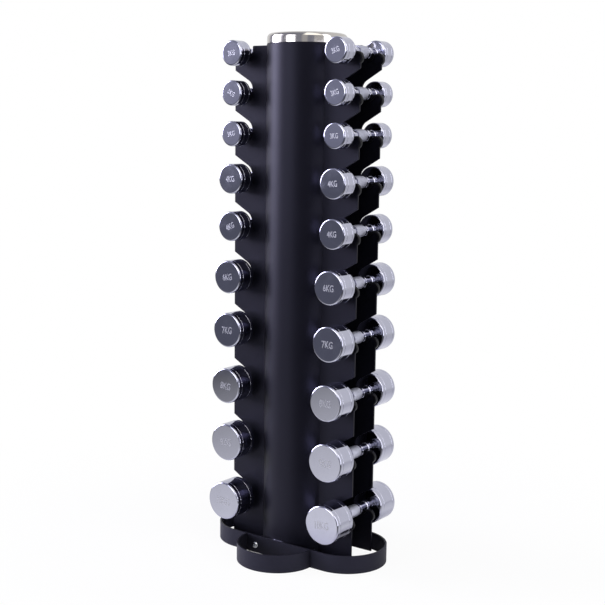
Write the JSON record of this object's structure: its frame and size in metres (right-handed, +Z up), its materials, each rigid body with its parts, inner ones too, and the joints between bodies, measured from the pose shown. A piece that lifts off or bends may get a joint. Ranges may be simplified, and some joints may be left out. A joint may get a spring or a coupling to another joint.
{
  "type": "dumbbell rack",
  "caption": "Double-sided upright dumbbell tower: a capped round column on a looped flat-bar base carries notched plates that hold chrome dumbbells by their handles.",
  "frame": {"origin": "on the floor, under the column's axis", "axes": "+X to the right-hand dumbbells, +Y from the front hoop to the back hoop, +Z up the column"},
  "size_m": [0.5372, 0.455, 1.4505],
  "materials": {
    "powder_coat": "satin",
    "base_coat": "satin",
    "polished_cap": "polished",
    "zinc_bolt": "bright",
    "knurled_steel": "knurled",
    "chrome_head": "polished",
    "black_edging": "moulded"
  },
  "bodies": {
    "rack": {"column_tube": "powder_coat", "top_cap": "polished_cap", "plate_front_right": "powder_coat", "plate_front_left": "powder_coat", "plate_back_right": "powder_coat", "plate_back_left": "powder_coat", "base_ring": "base_coat", "hoop_front": "base_coat", "hoop_back": "base_coat", "bolt_lugs": "base_coat", "base_bolts": "zinc_bolt"},
    "dumbbell_right_01": {"dumbbell_right_01_handle": "knurled_steel", "dumbbell_right_01_heads": "chrome_head"},
    "dumbbell_right_02": {"dumbbell_right_02_handle": "knurled_steel", "dumbbell_right_02_heads": "chrome_head"},
    "dumbbell_right_03": {"dumbbell_right_03_handle": "knurled_steel", "dumbbell_right_03_heads": "chrome_head"},
    "dumbbell_right_04": {"dumbbell_right_04_handle": "knurled_steel", "dumbbell_right_04_heads": "chrome_head"},
    "dumbbell_right_05": {"dumbbell_right_05_handle": "knurled_steel", "dumbbell_right_05_heads": "chrome_head"},
    "dumbbell_right_06": {"dumbbell_right_06_handle": "knurled_steel", "dumbbell_right_06_heads": "chrome_head"},
    "dumbbell_right_07": {"dumbbell_right_07_handle": "knurled_steel", "dumbbell_right_07_heads": "chrome_head"},
    "dumbbell_right_08": {"dumbbell_right_08_handle": "knurled_steel", "dumbbell_right_08_heads": "chrome_head"},
    "dumbbell_right_09": {"dumbbell_right_09_handle": "knurled_steel", "dumbbell_right_09_heads": "chrome_head"},
    "dumbbell_right_10": {"dumbbell_right_10_handle": "knurled_steel", "dumbbell_right_10_heads": "chrome_head"},
    "dumbbell_left_01": {"dumbbell_left_01_handle": "knurled_steel", "dumbbell_left_01_heads": "chrome_head"},
    "dumbbell_left_02": {"dumbbell_left_02_handle": "knurled_steel", "dumbbell_left_02_heads": "chrome_head"},
    "dumbbell_left_03": {"dumbbell_left_03_handle": "knurled_steel", "dumbbell_left_03_heads": "chrome_head"},
    "dumbbell_left_04": {"dumbbell_left_04_handle": "knurled_steel", "dumbbell_left_04_heads": "chrome_head"},
    "dumbbell_left_05": {"dumbbell_left_05_handle": "knurled_steel", "dumbbell_left_05_heads": "chrome_head"},
    "dumbbell_left_06": {"dumbbell_left_06_handle": "knurled_steel", "dumbbell_left_06_heads": "chrome_head"},
    "dumbbell_left_07": {"dumbbell_left_07_handle": "knurled_steel", "dumbbell_left_07_heads": "chrome_head"},
    "dumbbell_left_08": {"dumbbell_left_08_handle": "knurled_steel", "dumbbell_left_08_heads": "chrome_head"},
    "dumbbell_left_09": {"dumbbell_left_09_handle": "knurled_steel", "dumbbell_left_09_heads": "chrome_head"},
    "dumbbell_left_10": {"dumbbell_left_10_handle": "knurled_steel", "dumbbell_left_10_heads": "chrome_head"}
  },
  "joints": [
    {"name": "lift_right_01", "type": "slide", "parent": "rack", "child": "dumbbell_right_01", "axis": [0.7071, 0, 0.7071], "range_m": [0, 0.15]},
    {"name": "lift_right_02", "type": "slide", "parent": "rack", "child": "dumbbell_right_02", "axis": [0.7071, 0, 0.7071], "range_m": [0, 0.15]},
    {"name": "lift_right_03", "type": "slide", "parent": "rack", "child": "dumbbell_right_03", "axis": [0.7071, 0, 0.7071], "range_m": [0, 0.15]},
    {"name": "lift_right_04", "type": "slide", "parent": "rack", "child": "dumbbell_right_04", "axis": [0.7071, 0, 0.7071], "range_m": [0, 0.15]},
    {"name": "lift_right_05", "type": "slide", "parent": "rack", "child": "dumbbell_right_05", "axis": [0.7071, 0, 0.7071], "range_m": [0, 0.15]},
    {"name": "lift_right_06", "type": "slide", "parent": "rack", "child": "dumbbell_right_06", "axis": [0.7071, 0, 0.7071], "range_m": [0, 0.15]},
    {"name": "lift_right_07", "type": "slide", "parent": "rack", "child": "dumbbell_right_07", "axis": [0.7071, 0, 0.7071], "range_m": [0, 0.15]},
    {"name": "lift_right_08", "type": "slide", "parent": "rack", "child": "dumbbell_right_08", "axis": [0.7071, 0, 0.7071], "range_m": [0, 0.15]},
    {"name": "lift_right_09", "type": "slide", "parent": "rack", "child": "dumbbell_right_09", "axis": [0.7071, 0, 0.7071], "range_m": [0, 0.15]},
    {"name": "lift_right_10", "type": "slide", "parent": "rack", "child": "dumbbell_right_10", "axis": [0.7071, 0, 0.7071], "range_m": [0, 0.15]},
    {"name": "lift_left_01", "type": "slide", "parent": "rack", "child": "dumbbell_left_01", "axis": [-0.7071, 0, 0.7071], "range_m": [0, 0.15]},
    {"name": "lift_left_02", "type": "slide", "parent": "rack", "child": "dumbbell_left_02", "axis": [-0.7071, 0, 0.7071], "range_m": [0, 0.15]},
    {"name": "lift_left_03", "type": "slide", "parent": "rack", "child": "dumbbell_left_03", "axis": [-0.7071, 0, 0.7071], "range_m": [0, 0.15]},
    {"name": "lift_left_04", "type": "slide", "parent": "rack", "child": "dumbbell_left_04", "axis": [-0.7071, 0, 0.7071], "range_m": [0, 0.15]},
    {"name": "lift_left_05", "type": "slide", "parent": "rack", "child": "dumbbell_left_05", "axis": [-0.7071, 0, 0.7071], "range_m": [0, 0.15]},
    {"name": "lift_left_06", "type": "slide", "parent": "rack", "child": "dumbbell_left_06", "axis": [-0.7071, 0, 0.7071], "range_m": [0, 0.15]},
    {"name": "lift_left_07", "type": "slide", "parent": "rack", "child": "dumbbell_left_07", "axis": [-0.7071, 0, 0.7071], "range_m": [0, 0.15]},
    {"name": "lift_left_08", "type": "slide", "parent": "rack", "child": "dumbbell_left_08", "axis": [-0.7071, 0, 0.7071], "range_m": [0, 0.15]},
    {"name": "lift_left_09", "type": "slide", "parent": "rack", "child": "dumbbell_left_09", "axis": [-0.7071, 0, 0.7071], "range_m": [0, 0.15]},
    {"name": "lift_left_10", "type": "slide", "parent": "rack", "child": "dumbbell_left_10", "axis": [-0.7071, 0, 0.7071], "range_m": [0, 0.15]}
  ]
}
